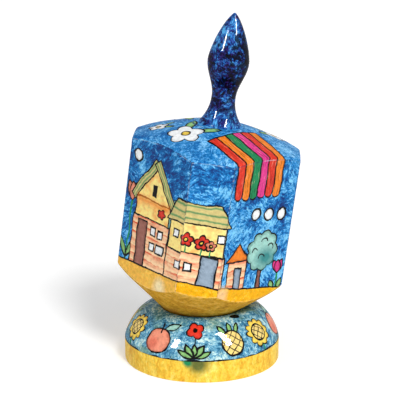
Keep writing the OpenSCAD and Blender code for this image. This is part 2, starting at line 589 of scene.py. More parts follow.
def ground(shader, place, tones, lift=0, along=(1.7, 0.36, 1.7), swing=(0, 0, 2.6), cloudy=0.24):
    """Uneven brushed paint, dark to pale: patches of strokes that each run their own way."""
    blotches = shader.noise(place, 0.13, roughness=0.6, distortion=0.4)
    drift = shader.noise(place, 0.25, colour=True)
    bent = shader.vector("MULTIPLY_ADD", drift, (7, 7, 7), place)
    patch = shader.node("TexVoronoi", inputs={"Vector": bent, "Scale": 0.13}, output=1)
    swayed = shader.vector("MULTIPLY_ADD", drift, (3, 3, 3), place)
    turned = {"Vector": swayed, "Rotation": shader.vector("MULTIPLY", patch, swing)}
    swept = shader.node("VectorRotate", {"rotation_type": "EULER_XYZ"}, turned)
    swept = shader.vector("MULTIPLY", swept, along)
    strokes = shader.noise(swept, 0.6, roughness=0.7)
    flecks = shader.noise(swept, 1.9, detail=2, roughness=0.7)
    shade = blotches * cloudy + strokes * 0.48 + flecks * 0.28 + lift + (0.12 - cloudy / 2)
    return shader.ramp(shade, list(zip(TONE_PLACES, tones)))


def varnished(shader, place, colour, coat=0.26, patchy=0.8):
    """Clear gloss over paint: uneven pigment, a faint grain and slow waves of varnish."""
    grain = shader.noise(place, 1.4, drawn=(1, 0.25, 1))
    waves = shader.noise(place, 0.12, detail=2)
    pigment = shader.noise(place, 0.75, detail=4, roughness=0.65)
    colour = shader.scaled(colour, shader.maths("MULTIPLY_ADD", pigment, 0.9, 0.57))
    roughness = shader.maths("MULTIPLY_ADD", grain, 0.2, 0.16)
    gloss = shader.maths("MULTIPLY_ADD", pigment, coat * patchy * 2, coat * (1 - patchy))
    return shader.finish(colour, roughness, grain * 0.3 + waves, 0.12, gloss)


# What is painted on the walls. A place on them is (distance round the block, height).

BOARD_WIDTH = 3
PANE = 1.35
PIP = 2.3


def planks(canvas):
    """Pale boards, each with a red streak along its upper edge."""
    sway = canvas.noise(canvas.grain, 1, detail=2, drawn=(0.14, 0.3, 0.2))
    height = canvas.split(canvas.place)[1] + sway * 2.4
    board = canvas.maths("FRACT", height * (1 / BOARD_WIDTH))
    smear = canvas.noise(canvas.grain, 1, drawn=(0.18, 1.1, 0.2))
    heavy = canvas.rising(board, 0.2, 0.9) * canvas.rising(smear, 0.3, 0.6)
    return canvas.mix("plank", "streak", heavy)


def plaster(canvas):
    """Pale yellow plaster with clouds of orange."""
    cloud = canvas.noise(canvas.grain, 0.22, detail=2)
    return canvas.mix("straw", "orange", canvas.rising(cloud, 0.5, 0.72) * 0.7)


def tree(canvas, x, foot, crown, radius, top="mint", shade="teal"):
    """A tree: trunk, a crown like a cloud, soft shade and a few pen curls."""
    trunk = polygon((x - 1, foot), (x + 1.2, foot), (x + 0.8, crown), (x - 0.8, crown))
    canvas.fill("brown", trunk)
    canvas.fill(top, blossom(x, crown, radius * 1.12, 9, depth=0.14), rim=1.1)
    below = ellipse(x + radius * 0.3, crown - radius * 0.42, radius * 0.62, radius * 0.45)
    canvas.fill(shade, below, pen=0, soft=4)
    for across, up, turn in ((-0.52, 0.02, 14), (0.1, 0.5, -8), (0.56, 0.12, -24), (-0.02, -0.4, 6)):
        mark = curl(x + across * radius, crown + up * radius, radius * 0.2, turn)
        canvas.fill("ink", mark, pen=0)


def tulip(canvas, x, foot, height, size, colour):
    top = foot + height
    canvas.draw((x, foot), (x + 0.5, foot + height * 0.5), (x, top), width=0.8, colour="green")
    reach = min(height * 0.5, 9)
    right = leaf(x + 2, foot + reach * 0.55, reach, 2.3, 62)
    left = leaf(x - 2, foot + reach * 0.5, reach * 0.9, 2.3, 118)
    canvas.fill("leaf", right, left)
    for across, up, turn in ((0.24, 0.3, 62), (-0.24, 0.3, 118), (0, 0.25, 90)):
        petal = leaf(x + across * size, top + up * size, size * 1.5, size * 0.8, turn)
        canvas.fill(colour, petal)


def panes(canvas, *places):
    """Small square windows."""
    canvas.fill("white", *[box(x, y, PANE, PANE * 1.1, 3) for x, y in places], rim=0)


def pips(canvas, *places):
    """The face's number, as white dots."""
    canvas.fill("white", *[ellipse(x, y, PIP) for x, y in places], pen=0.75)


def roof_board(canvas, x, y, half_length, half_width, turn):
    """A sand-coloured board with green lines along it."""
    board = box(x, y, half_length, half_width, turn)
    if canvas.shows(board):
        across = canvas.split(canvas.placed(x, y, turn))[1]
        off = abs(abs(across) - half_width * 0.42)
        canvas.fill(canvas.mix("sand", "green", canvas.inside(off - 0.32, 0.4) * 0.75), board)


def gable_house(canvas, x, foot, half, boards, eaves, peak):
    """Plank walls below, plaster above, and a gable under two roof boards."""
    walls = plaster(canvas)
    inner = half - 0.6
    canvas.fill(walls, box(x, (boards + eaves) / 2, inner, (eaves - boards) / 2 + 1), pen=0)
    canvas.fill(walls, polygon((x - half, eaves), (x + half, eaves), (x, peak)))
    canvas.fill(planks(canvas), box(x, (foot + boards) / 2, half, (boards - foot) / 2))
    slope = math.degrees(math.atan2(peak - eaves, half))
    long_half = math.hypot(half, peak - eaves) / 2 + 1.3
    for side in (-1, 1):
        middle = x + side * (half / 2 + 0.6)
        roof_board(canvas, middle, (eaves + peak) / 2 + 0.5, long_half, 1.6, -side * slope)
    canvas.fill("orange", box(x, eaves - 1, half - 1.4, 1), pen=0, soft=3.4)
    canvas.fill("ink", box(x, eaves + (peak - eaves) * 0.3, 1.3, 2.1), pen=0)
    for side in (-inner, inner):
        canvas.draw((x + side, boards), (x + side, eaves))


def long_house(canvas, x, foot, half, boards, eaves, ridge):
    """Plank walls below, plaster above, and a low roof seen from its long side."""
    upper = box(x, (boards + eaves) / 2, half - 0.6, (eaves - boards) / 2)
    canvas.fill(plaster(canvas), upper)
    canvas.fill(planks(canvas), box(x, (foot + boards) / 2, half, (boards - foot) / 2))
    height = canvas.split(canvas.place)[1]
    across = canvas.maths("PINGPONG", height - eaves + 0.6, 1.25)
    lined = canvas.mix("sand", "green", canvas.inside(across - 0.35, 0.4) * 0.8)
    low = half + 1.4
    high = half - 3.2
    roof = polygon((x - low, eaves), (x + low, eaves), (x + high, ridge), (x - high, ridge))
    canvas.fill(lined, roof)


def left_face(canvas):
    """A tall gabled house, a tulip, a tree and the face's pip."""
    tulip(canvas, -37.2, 31, 26, 4.6, "coral")
    tree(canvas, -13.6, 34, 55.4, 5.2)
    gable_house(canvas, -25, 30, 10, 50, 57.4, 70.6)
    canvas.fill("brown", box(-29.6, 39, 2.5, 9.6, 1))
    panes(canvas, (-23.6, 46.2), (-19.4, 46), (-23.4, 40.4))
    canvas.fill("white", box(-18.8, 40.2, 2.2, 1.6, -4))
    canvas.fill("red", blossom(-19.8, 54, 2.1, 5))
    pips(canvas, (-36, 72))


def front_flat(canvas):
    """A long low house with red and coral flowers under its roof."""
    long_house(canvas, -3.1, 30, 12, 43.4, 54.4, 62.4)
    canvas.fill("slate", box(3, 36.4, 3, 6.6, -2))
    panes(canvas, (-11, 49.6), (6.4, 50))
    for x, y, size, colour in ((-5.8, 48.6, 2.7, "red"), (-0.2, 48, 2.7, "red"), (3.2, 47, 2, "coral")):
        canvas.draw((x, 43.6), (x + 0.3, y), width=0.6, colour="green")
        canvas.fill(colour, blossom(x, y, size, 5, turn=18))
        canvas.fill("lemon", ellipse(x, y, size * 0.28))
    panes(canvas, (-8.6, 38.4), (-4.4, 38.2))


def right_face(canvas):
    """A striped awning at the top, a plank shed, a mint tree and the face's pips."""
    canvas.fill(planks(canvas), box(15.8, 34.4, 4.6, 6.4))
    canvas.fill("orange", polygon((9.8, 40.8), (21.8, 40.8), (15.8, 47.6)))
    canvas.fill("slate", box(16.4, 33.2, 1.6, 5))
    tree(canvas, 28, 27, 43.6, 7.2)
    tulip(canvas, 37.4, 27, 8.4, 3.8, "pink")
    awning(canvas)
    pips(canvas, (22, 58.4), (28.6, 57.8), (35.2, 57.2))


AWNING_TONES = ("red", "orange", "green", "pink")
AWNING_LEFT = 9.4
AWNING_BAND = 3.9
AWNING_BANDS = 6
# Height of its scalloped edge on the wall, and how far from the axis it ends on the shoulder
AWNING_EDGE = 66.5
AWNING_RIDGE = 11


def lay_awning(canvas, across, along, past):
    """Bands with a pen line between them and brush marks along them, up to an edge."""
    turns = canvas.maths("FRACT", across * (1 / (AWNING_BAND * len(AWNING_TONES))))
    stops = [(index / len(AWNING_TONES), colour) for index, colour in enumerate(AWNING_TONES)]
    line = canvas.maths("PINGPONG", across, AWNING_BAND / 2) - PEN * 0.6
    bands = canvas.mix(canvas.ramp(turns, stops, steps=True), "ink", canvas.inside(line, EDGE_SOFT))
    marks = canvas.noise(canvas.join(across * 1.5, along * 0.16), 1, detail=4, roughness=0.7)
    bands = canvas.mix(bands, canvas.scaled(bands, 0.45), canvas.rising(marks, 0.52, 0.66))
    bands = canvas.mix(bands, "cream", canvas.rising(marks, 0.42, 0.3) * 0.5)
    sides = canvas.maths("MAXIMUM", across * -1, across - AWNING_BAND * AWNING_BANDS)
    distance = canvas.maths("MAXIMUM", past, sides)
    canvas.lay(bands, canvas.inside(distance, EDGE_SOFT))
    canvas.lay("ink", canvas.inside(abs(distance) - PEN / 2, EDGE_SOFT))


def awning(canvas):
    """Bands of bright cloth with a scalloped edge."""
    if canvas.shows(box(21, 70, 12, 8)):
        x, height, _ = canvas.split(canvas.place)
        across = x - AWNING_LEFT
        scallop = canvas.maths("WRAP", across, AWNING_BAND, 0) - AWNING_BAND / 2
        hang = canvas.maths("SQRT", (AWNING_BAND / 2) ** 2 - scallop * scallop)
        lay_awning(canvas, across, height, (AWNING_EDGE - hang) - height)


def awning_roof(canvas):
    """The awning goes on over the edge of the block, in the frame of the face below it."""
    face = Facet(1)
    turned = canvas.mapped(canvas.place, turn=(0, 0, face.angle + math.pi / 2))
    x, away, _ = canvas.split(turned)
    lay_awning(canvas, x + (face.middle - AWNING_LEFT), away, away + AWNING_RIDGE)


def garden_face(canvas, middle):
    """Tulips and a tree on a back face, with the face's pips."""
    tree(canvas, middle - 8.5, 29, 49, 7.6)
    for x, height, colour in ((1.6, 13, "red"), (7.4, 20, "orange"), (13, 12, "pink")):
        tulip(canvas, middle + x, 30, height, 5, colour)
    pips(canvas, (middle + 3, 68.5), (middle + 9.6, 68.5))


def barn_face(canvas, middle):
    """A gabled house on a back face, with the face's pips."""
    gable_house(canvas, middle - 4, 29, 9.6, 45, 52, 63)
    canvas.fill("brown", box(middle - 5, 36, 2.5, 8))
    panes(canvas, (middle - 10, 40.6), (middle + 1, 40.4))
    tree(canvas, middle + 11.4, 28, 42, 4.6, "leaf", "green")
    pips(canvas, *[(middle + x, y) for y in (71, 64.4) for x in (5.6, 12)])


def vine_flat(canvas, middle, colour):
    """A climbing vine on a corner flat."""
    stem = [(middle + side, 31 + 7 * step) for step, side in enumerate((0, 1.4, -1, 1.2, -1.2, 0))]
    canvas.draw(*stem, width=0.8, colour="green")
    for step, (x, y) in enumerate(stem[:-1]):
        side = 1 if step % 2 else -1
        canvas.fill("leaf", leaf(x + side * 3, y + 3.4, 5.6, 2.6, 90 - side * 48))
    canvas.fill(colour, blossom(middle, 69, 4, 5))
    canvas.fill("lemon", ellipse(middle, 69, 1.2))


# Pictures that lie across several facets, with the facets that they reach
WIDE_PICTURES = ((left_face, (-2, -1, 0)), (front_flat, (-1, 0, 1)), (right_face, (0, 1, 2)))
BACK_PICTURES = {-3: garden_face, 3: barn_face}
VINES = {-4: "red", -2: "coral", 2: "orange"}


def wall_art(canvas, facet):
    """Draws what reaches a facet. What lies past its window is left out by the canvas."""
    for picture, facets in WIDE_PICTURES:
        if facet.index in facets:
            picture(canvas)
    if facet.index in VINES:
        vine_flat(canvas, facet.middle, VINES[facet.index])
    if facet.index in BACK_PICTURES:
        BACK_PICTURES[facet.index](canvas, facet.middle)


# The block's materials

# The flats in millimetres: from middle to middle round the block, half their widths, and how
# far from the axis they lie
FACET_STEP = 24.542
WIDE_HALF = 16.79
FLAT_HALF = 7.75
FACE_OUT = 27.75
FLAT_OUT = 31.49
WALL_LOW = 22
WALL_HIGH = 80
# Height of the shoulder at the middle of a wide face, how it falls off outwards, and how the
# cone rises outwards
SHOULDER_EDGE = 79.29
SHOULDER_SLOPE = 0.382
CONE_SLOPE = 27.5 / 32.434
# Height of the line between picture and yellow at the right edge of each facet, from facet 0 on
LINE_HEIGHTS = (31.4, 27.6, 29.4, 31.2, 31.4, 30.4, 30.8, 32.2)
# How much paler than its tones the blue of a facet is: at its foot, and less with each millimetre
BLUE_LIFT = 0.068
BLUE_FALL = 0.0012
# Painted light and shade per facet: the left face's blue a little darker, the front flat's and the
# right face's paler, as light falls from the front right
LIFT = {-1: -0.004, 0: 0.02, 1: 0.026}
OTHER_LIFT = 0.01
# How far the yellow of a facet is paled towards parchment
PALER_YELLOW = {-3: 0.1, -2: 0.2, -1: 0.22}
# Painted highlights on the yellow of a facet, pale soft spots where lamps glint: paint, shape and
# softness
PAINTED_HIGHLIGHTS = {
    -1: ("ivory", ellipse(-16.6, 26.7, 2.6, 2.9), 3),
    1: ("apricot", ellipse(10, 28.4, 2.4, 3), 2.4),
}


class Facet:
    """One of the block's eight flats, in millimetres. 0 is the front corner flat, and odd
    numbers are the wide faces.
    """

    def __init__(self, index):
        self.index = index
        self.half = WIDE_HALF if index % 2 else FLAT_HALF
        self.out = FACE_OUT if index % 2 else FLAT_OUT
        self.middle = FACET_STEP * index
        self.angle = math.radians(45 * index - 90)

    def place(self, shader):
        """(distance round the block, height, distance out)."""
        outward = Vector((math.cos(self.angle), math.sin(self.angle), 0))
        along = Vector((-outward.y, outward.x, 0))
        # Right, up and outward make a right-handed frame with right as x and up as y
        local = Matrix((along, Vector((0, 0, 1)), outward)).transposed().to_4x4()
        start = Matrix.Translation(along * (-self.middle * MM))
        return shader.seen_from(in_stand() @ start @ local)


def lay_yellow(canvas, facet):
    """The yellow below the picture, and the pen line above it."""
    across, height, _ = canvas.split(canvas.place)
    low_left = LINE_HEIGHTS[facet.index - 1]
    slope = (LINE_HEIGHTS[facet.index] - low_left) / (2 * facet.half)
    left = facet.middle - facet.half
    level = height - (across * slope + (low_left - left * slope))
    yellow = ground(canvas, canvas.grain, ("olive", "amber", "yellow", "honey"))
    yellow = canvas.mix(yellow, "parchment", PALER_YELLOW.get(facet.index, 0))
    canvas.lay(yellow, canvas.inside(level, EDGE_SOFT))
    canvas.lay("ink", canvas.inside(abs(level) - PEN / 2, EDGE_SOFT))


def worn_edges(canvas, facet):
    """Wear along the facet's upright edges and its curved upper and lower edge."""
    across, height, _ = canvas.split(canvas.grain)
    across = across - facet.middle
    patchy = canvas.noise(canvas.grain, 0.6)
    thin = canvas.inside(abs(abs(across) - (facet.half - 0.15)) - 0.1, 0.22)
    canvas.lay("grime", thin * canvas.rising(patchy, 0.4, 0.55) * 0.75)
    canvas.lay("chalk", thin * canvas.rising(patchy, 0.46, 0.34) * 0.5)
    radius = canvas.maths("SQRT", across * across + facet.out ** 2)
    below = (radius - FACE_OUT) * -SHOULDER_SLOPE + SHOULDER_EDGE - height
    edge = canvas.inside(abs(below - 0.8) - 0.14, 0.25)
    wear_and_shade = canvas.noise(canvas.grain, 0.22)
    canvas.lay("dusk", edge * canvas.rising(wear_and_shade, 0.52, 0.42) * 0.6)
    strength = 0.4 if facet.index % 2 else 0.6
    canvas.lay("frost", edge * canvas.rising(wear_and_shade, 0.46, 0.62) * strength)
    above = height - radius * CONE_SLOPE
    worn = canvas.inside(above - 0.5, 1) * canvas.rising(patchy, 0.36, 0.62)
    canvas.lay("buff", worn * 0.8)


def wall_material(index):
    """One facet: blue ground, picture, pen line and the yellow below."""
    facet = Facet(index)
    canvas = Canvas("painted_wall_%d" % (index % 8))
    place = facet.place(canvas)
    sides = (facet.middle - facet.half, facet.middle + facet.half)
    canvas.stretch(place, (*sides, WALL_LOW, WALL_HIGH))
    lift = canvas.split(place)[1] * -BLUE_FALL + (BLUE_LIFT + LIFT.get(index, OTHER_LIFT))
    canvas.colour = ground(canvas, place, ("navy", "deep", "blue", "pale"), lift, cloudy=0.42)
    wall_art(canvas, facet)
    lay_yellow(canvas, facet)
    worn_edges(canvas, facet)
    # Painted highlights: pale soft spots on the yellow where lamps glint
    if index in PAINTED_HIGHLIGHTS:
        colour, smear, soft = PAINTED_HIGHLIGHTS[index]
        canvas.fill(colour, smear, pen=0, soft=soft)
    return varnished(canvas, place, canvas.colour)


# Blossoms on the shoulder: place and size
SHOULDER_BLOSSOMS = (
    (-11.8, -12.8, 7),
    (-22.5, -1.5, 3.6),
    (-13, 15, 6),
    (8, 21, 4.6),
    (21, 10, 5),
)
FOOT_RING = 9.6


def shoulder_blossom(canvas, x, y, size):
    """A white blossom with two leaves that point away from the handle."""
    for turn in (150, 210):
        angle = math.atan2(y, x) + math.radians(turn)
        reach = size * 1.25
        spot = (x + reach * math.cos(angle), y + reach * math.sin(angle))
        canvas.fill("leaf", leaf(*spot, size * 1.3, size * 0.5, math.degrees(angle)))
    canvas.fill("white", blossom(x, y, size, 5, turn=20))
    canvas.fill("lemon", ellipse(x, y, size * 0.24))


def dark_ring_round_foot(canvas):
    """A broken dark ring on the shoulder round the handle's foot."""
    out = canvas.vector("LENGTH", canvas.place)
    patchy = canvas.noise(canvas.grain, 0.35)
    ring = canvas.inside(abs(out - FOOT_RING) - 0.35, 0.5) * canvas.rising(patchy, 0.42, 0.56)
    canvas.lay("midnight", ring * 0.9)


def shoulder_material():
    """Seen from above: blue ground, blossoms, leaves and the awning's roof."""
    canvas = Canvas("painted_shoulder")
    place = canvas.seen_from(in_stand())
    canvas.stretch(place, (-40, 40, -40, 40))
    tones = ("deep", *chart((26, 118, 190), (66, 158, 222), (150, 212, 252)))
    # Painted shade: the shoulder's blue is darker towards its left side
    lift = canvas.rising(canvas.split(place)[0], -12, -28) * -0.03 + 0.012
    canvas.colour = ground(canvas, place, tones, lift, swing=ANY_WAY, cloudy=0.34)
    for x, y, size in SHOULDER_BLOSSOMS:
        shoulder_blossom(canvas, x, y, size)
    awning_roof(canvas)
    dark_ring_round_foot(canvas)
    return varnished(canvas, place, canvas.colour, coat=0.14)


# Height on the cone below which painted shade is laid, where the stand's rim shades it
RIM_SHADE_HEIGHT = 13.5


def cone_material():
    """The turned underside: thin yellow that went dull, with a ring of painted shade low on the cone
    where the stand's rim shades it.
    """
    shader = Shader("painted_cone")
    place = shader.seen_from(in_stand())
    tones = chart((188, 134, 40), (206, 154, 46), (218, 168, 56), (226, 180, 78))
    colour = ground(shader, place, tones, along=(0.6, 0.6, 1), swing=NO_WAY)
    # Painted shade: warm brown in patches low on the cone, where the stand's rim shades it
    wear_and_shade = shader.rising(shader.split(place)[2], RIM_SHADE_HEIGHT + 4, RIM_SHADE_HEIGHT)
    wear_and_shade = wear_and_shade * shader.rising(shader.noise(place, 0.3), 0.38, 0.6)
    colour = shader.mix(colour, "rust", wear_and_shade * 0.6)
    return varnished(shader, place, colour, coat=0.08)


DARKEST_HEIGHT = 106


def handle_material():
    """Dark blue with near-black blots round the knob, lighter towards the foot and the tip; a painted
    reflection pales the spire's left edge, and painted shade gathers the blots on the right.
    """
    shader = Shader("painted_handle")
    place = shader.seen_from(in_stand())
    tones = chart((3, 3, 12), (18, 18, 88), (26, 98, 184), (90, 180, 236))
    across, _, height = shader.split(place)
    away = abs(height - DARKEST_HEIGHT)
    foot = shader.rising(height, 93, 86) * 0.05
    # Painted reflection: paler blue along the left edge of the spire
    side = shader.rising(across, -2.5, -5) * shader.rising(height, 104, 112) * 0.03
    lift = away * 0.0014 + (foot + side) - 0.032
    colour = ground(shader, place, tones, lift, swing=ANY_WAY, cloudy=0.36)
    tint = shader.rising(shader.noise(place, 0.8), 0.5, 0.62)
    colour = shader.mix(colour, "violet", tint * 0.45)
    # Blots, with painted shade that gathers them on the right side of the handle
    dabs = shader.noise(place, 0.5) + shader.rising(across, 0, 7) * 0.2
    blots = shader.rising(dabs, 0.54, 0.62) * shader.rising(away, 22, 12)
    colour = shader.mix(colour, "black", blots * 0.9)
    return varnished(shader, place, colour, coat=0.2, patchy=0.3)


# The stand's materials. A place on it is (distance round the dome, distance up it).

DOME_RADIUS = 26
QUARTER = math.pi / 2
# Painted shadow of the gap between the cone and the stand's rim
RIM_GAP_SHADOW = ellipse(18.2, 17.9, 2.7, 1.25)


def stand_place(shader, sector=0):
    """The place on the stand, and the plain place in millimetres. Each quarter has its own."""
    plain = shader.seen_from(Matrix())
    x, y, height = shader.split(shader.mapped(plain, turn=(0, 0, sector * QUARTER)))
    angle = shader.maths("ARCTAN2", x, y * -1) + sector * QUARTER
    out = shader.vector("LENGTH", shader.vector("MULTIPLY", plain, (1, 1, 0)))
    sizes = stand_sizes()
    up = (height - sizes.band / MM) * 0.75 + (sizes.width / MM / 2 - out) * 0.75
    return shader.join(angle * DOME_RADIUS, up), plain


def fruit(canvas, x, y, size):
    canvas.fill("mint", leaf(x + size * 0.9, y + size * 1.25, size * 1.5, size * 0.6, 24))
    canvas.fill("coral", ellipse(x, y, size))
    canvas.fill("blush", ellipse(x - size * 0.35, y - size * 0.3, size * 0.45), pen=0, soft=2)
    canvas.draw((x + size * 0.1, y + size * 0.62), (x - size * 0.1, y + size * 1.5), width=0.7)


def leaf_fan(canvas, x, y, out, up, leaves):
    """Leaves that spread from a foot. Each has its turn, its length and its width."""
    for turn, length, width in leaves:
        angle = math.radians(turn)
        spot = (x + math.cos(angle) * out, y + math.sin(angle) * up)
        canvas.fill("leaf", leaf(*spot, length, width, turn))


def poppy(canvas, x, foot, size):
    top = foot + size * 2.3
    heart = top + size * 0.6
    canvas.draw((x, foot), (x + 0.3, top), width=0.5)
    lengths = ((28, 1.5), (58, 1.6), (90, 1.2), (122, 1.6), (152, 1.5))
    leaves = [(turn, size * length, size * 0.5) for turn, length in lengths]
    leaf_fan(canvas, x, foot, size * 0.8, size * 0.8, leaves)
    canvas.fill("red", blossom(x, heart, size, 4, turn=30))
    canvas.fill("ink", ellipse(x, heart, size * 0.28), pen=0)


def lattice(canvas, x, y, gap):
    """A net of slanting pen lines."""
    parts = canvas.split(canvas.placed(x, y, 52))
    lines = [canvas.maths("PINGPONG", part, gap / 2) for part in parts[:2]]
    net = canvas.inside(canvas.maths("MINIMUM", *lines) - 0.17, EDGE_SOFT)
    return canvas.mix("rind", "ink", net)


def sunflower(canvas, x, y, size):
    canvas.draw((x, 0.5), (x, y), width=0.7, colour="green")
    canvas.fill("lemon", blossom(x, y, size, 10, depth=0.22))
    canvas.fill(lattice(canvas, x, y, 1.9), ellipse(x, y, size * 0.55))


def pineapple(canvas, x, y, size):
    leaves = [(turn, size * 1.1, size * 0.4) for turn in (60, 90, 120)]
    leaf_fan(canvas, x, y, size * 1.3, size * 1.25, leaves)
    canvas.fill(lattice(canvas, x, y, 2.2), ellipse(x, y, size * 0.86, size))


def dome_art(canvas):
    """The same row of fruit and flowers three times round, and on past the back."""
    third = 2 * math.pi * DOME_RADIUS / 3
    for turn in range(-2, 3):
        x = turn * third
        sunflower(canvas, x - 30.4, 8, 5.8)
        fruit(canvas, x - 16.4, 6.6, 4.8)
        poppy(canvas, x - 2.4, 1, 3.9)
        pineapple(canvas, x + 11.4, 6.6, 4.9)


def dome_material(sector):
    """A quarter of the dome: mottled blue and green, with fruit and flowers."""
    canvas = Canvas("painted_dome_%d" % sector)
    place, plain = stand_place(canvas, sector)
    sides = [(sector + half) * QUARTER * DOME_RADIUS for half in (-0.5, 0.5)]
    canvas.stretch(place, (*sides, -4, 24), plain)
    tones = chart((34, 84, 116), (58, 130, 172), (114, 178, 204), (204, 232, 228))
    canvas.colour = ground(canvas, plain, tones, 0.022, swing=ANY_WAY, cloudy=0.34)
    canvas.lay("moss", canvas.rising(canvas.noise(plain, 0.16), 0.52, 0.7) * 0.6)
    dome_art(canvas)
    # Painted shadow: a near-black oval by the rim, for the shaded gap between the cone and the socket
    canvas.fill("pitch", RIM_GAP_SHADOW, pen=0)
    up = canvas.split(canvas.place)[1]
    canvas.lay("ink", canvas.inside(abs(up - 0.3) - canvas.pressure * PEN, EDGE_SOFT))
    return varnished(canvas, plain, canvas.colour)


def band_material():
    """The straight band: yellow with a dark smear, a green dab and scuffs."""
    canvas = Canvas("painted_band")
    place, plain = stand_place(canvas)
    canvas.stretch(place, (-90, 90, -8, 4))
    tones = chart((232, 172, 48), (242, 198, 64), (247, 209, 78), (251, 224, 112))
    canvas.colour = ground(canvas, plain, tones, along=(0.9, 0.9, 0.25), swing=NO_WAY)
    canvas.fill("khaki", ellipse(-0.9, -0.6, 3.2, 2.6), pen=0, soft=2.6)
    canvas.fill("green", ellipse(-4.6, 0.2, 1.6, 1.4), pen=0, soft=1)
    scuffs = canvas.noise(plain, 0.45, detail=4, roughness=0.7)
    canvas.lay("scuff", canvas.rising(scuffs, 0.64, 0.72) * 0.45)
    return varnished(canvas, plain, canvas.colour)


def wood_material():
    shader = Shader("bare_wood")
    place = shader.seen_from(Matrix())
    along = (0.06, 0.9, 0.9)
    lines = shader.noise(place, 1, detail=4, roughness=0.6, distortion=0.4, drawn=along)
    colour = shader.ramp(lines, ((0.35, "grain"), (0.6, "wood")))
    return shader.finish(colour, lines * 0.3 + 0.4, lines, 0.06, coat=0.2)


# Modelling helpers

ROUND_STEPS = 120
MERGE_WITHIN = 0.002 * MM


def deselect_all():
    bpy.ops.object.select_all(action="DESELECT")


def select_only(piece):
    """Selects the piece alone and makes it the active one."""
    deselect_all()
    piece.select_set(True)
    bpy.context.view_layer.objects.active = piece


def set_mode(mode):
    bpy.ops.object.mode_set(mode=mode)


def new_square(name, size, turn=0):
    """A flat square, alone in the selection."""
    deselect_all()
    bpy.ops.mesh.primitive_plane_add(size=size, rotation=(0, 0, turn))
    piece = bpy.context.object
    piece.name = name
    return piece


def select_mesh():
    bpy.ops.mesh.select_all(action="SELECT")


def select_parts(piece, kind, wanted):
    """Selects the corners, edges or faces that are wanted, in edit mode."""
    bpy.ops.mesh.select_mode(type=kind)
    bpy.ops.mesh.select_all(action="DESELECT")
    shape = bmesh.from_edit_mesh(piece.data)
    for part in {"VERT": shape.verts, "EDGE": shape.edges, "FACE": shape.faces}[kind]:
        part.select_set(wanted(part))
    bmesh.update_edit_mesh(piece.data)


def extrude(up=0, out=0):
    bpy.ops.mesh.extrude_region_move(TRANSFORM_OT_translate={"value": (out, 0, up)})


def turn_on_lathe(name, points):
    """A closed turned solid from (radius, height) points that start and end on the axis."""
    piece = new_square(name, MM)
    set_mode("EDIT")
    bpy.ops.mesh.select_mode(type="VERT")
    bpy.ops.mesh.merge(type="CENTER")
    bpy.ops.transform.translate(value=(points[0][0], 0, points[0][1]))
    for start, end in zip(points, points[1:]):
        extrude(end[1] - start[1], end[0] - start[0])
    select_mesh()
    bpy.ops.mesh.spin(steps=ROUND_STEPS, angle=2 * math.pi, center=(0, 0, 0), axis=(0, 0, 1))
    select_mesh()
    bpy.ops.mesh.remove_doubles(threshold=MERGE_WITHIN)
    bpy.ops.mesh.normals_make_consistent(inside=False)
    set_mode("OBJECT")
    return piece


def arc(centre, radius, start, end, steps):
    """Points on an arc, by angle in degrees, without its first point."""
    turns = [math.radians(start + (end - start) * step / steps) for step in range(1, steps + 1)]
    return [(centre[0] + radius * math.cos(a), centre[1] + radius * math.sin(a)) for a in turns]


def curve(steps, point):
    """Points on a curve that is given by shares of its length, without its first point."""
    return [point(step / steps) for step in range(1, steps + 1)]


def smooth(piece, crease):
    """Shades the piece smooth, apart from edges that turn by more degrees than the crease."""
    select_only(piece)
    bpy.ops.object.shade_smooth_by_angle(angle=math.radians(crease))


def paint(piece, materials, choose):
    """Hands each face its material."""
    for material in materials:
        piece.data.materials.append(material)
    for face in piece.data.polygons:
        face.material_index = choose(face)


def settle(piece, matrix):
    """Moves a finished piece to its place and puts the place in its mesh."""
    piece.matrix_world = matrix
    select_only(piece)
    bpy.ops.object.transform_apply(location=True, rotation=True, scale=True)


def hand_over(piece, body, node):
    """Hangs the piece on its body and hides the CAD part that it stands for."""
    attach(piece, body)
    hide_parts(node)


# Operators

# Edges sharper than this, in degrees, stay sharp
STAND_CREASE = 35
DREIDEL_CREASE = 40


class DREIDEL_OT_ring_stand(bpy.types.Operator):
    """Turn and paint the ring stand"""

    bl_idname = "dreidel.ring_stand"
    bl_label = "Ring stand"

    def profile(self):
        sizes = stand_sizes()
        out = sizes.width / 2
        hole = sizes.socket / 2
        rim = hole + sizes.rim_round
        bevel = sizes.foot_bevel

        def dome(share):
            radius = rim + (out - rim) * math.cos(math.pi / 2 * share)
            fullness = max(0, 1 - ((radius - rim) / (out - rim)) ** sizes.dome_top)
            rise = (sizes.height - sizes.band) * fullness ** (1 / sizes.dome_side)
            return radius, sizes.band + rise

        points = [(0, 0), (out - bevel, 0), (out - bevel * 0.25, bevel * 0.3), (out, bevel)]
        points += [(out, sizes.band)] + curve(36, dome)
        points += arc((rim, sizes.height - sizes.rim_round), sizes.rim_round, 90, 180, 8)
        return points + [(hole, sizes.socket_floor), (0, sizes.socket_floor)]

    def execute(self, context):
        sizes = stand_sizes()
        hole = sizes.socket / 2
        piece = turn_on_lathe("ring_stand_painted", self.profile())
        smooth(piece, STAND_CREASE)
        materials = [dome_material(sector) for sector in range(-1, 3)]
        band = len(materials)
        bare = band + 1
        materials += [band_material(), wood_material()]

        def choose(face):
            out = math.hypot(face.center.x, face.center.y)
            low = face.center.z < sizes.band
            in_wall = out < hole + 10 * NEAR and face.normal.z < 0.5
            if face.center.z < NEAR or in_wall or low and out < hole + MM:
                return bare
            if low:
                return band
            return (round(math.atan2(face.center.x, -face.center.y) / QUARTER) + 1) % 4

        paint(piece, materials, choose)
        hand_over(piece, "stand", "ring_stand")
        return {"FINISHED"}


# How far the block is drawn past its turned ends before they are cut
PAST_END = 5 * MM
PAST_CORNER = 2 * MM
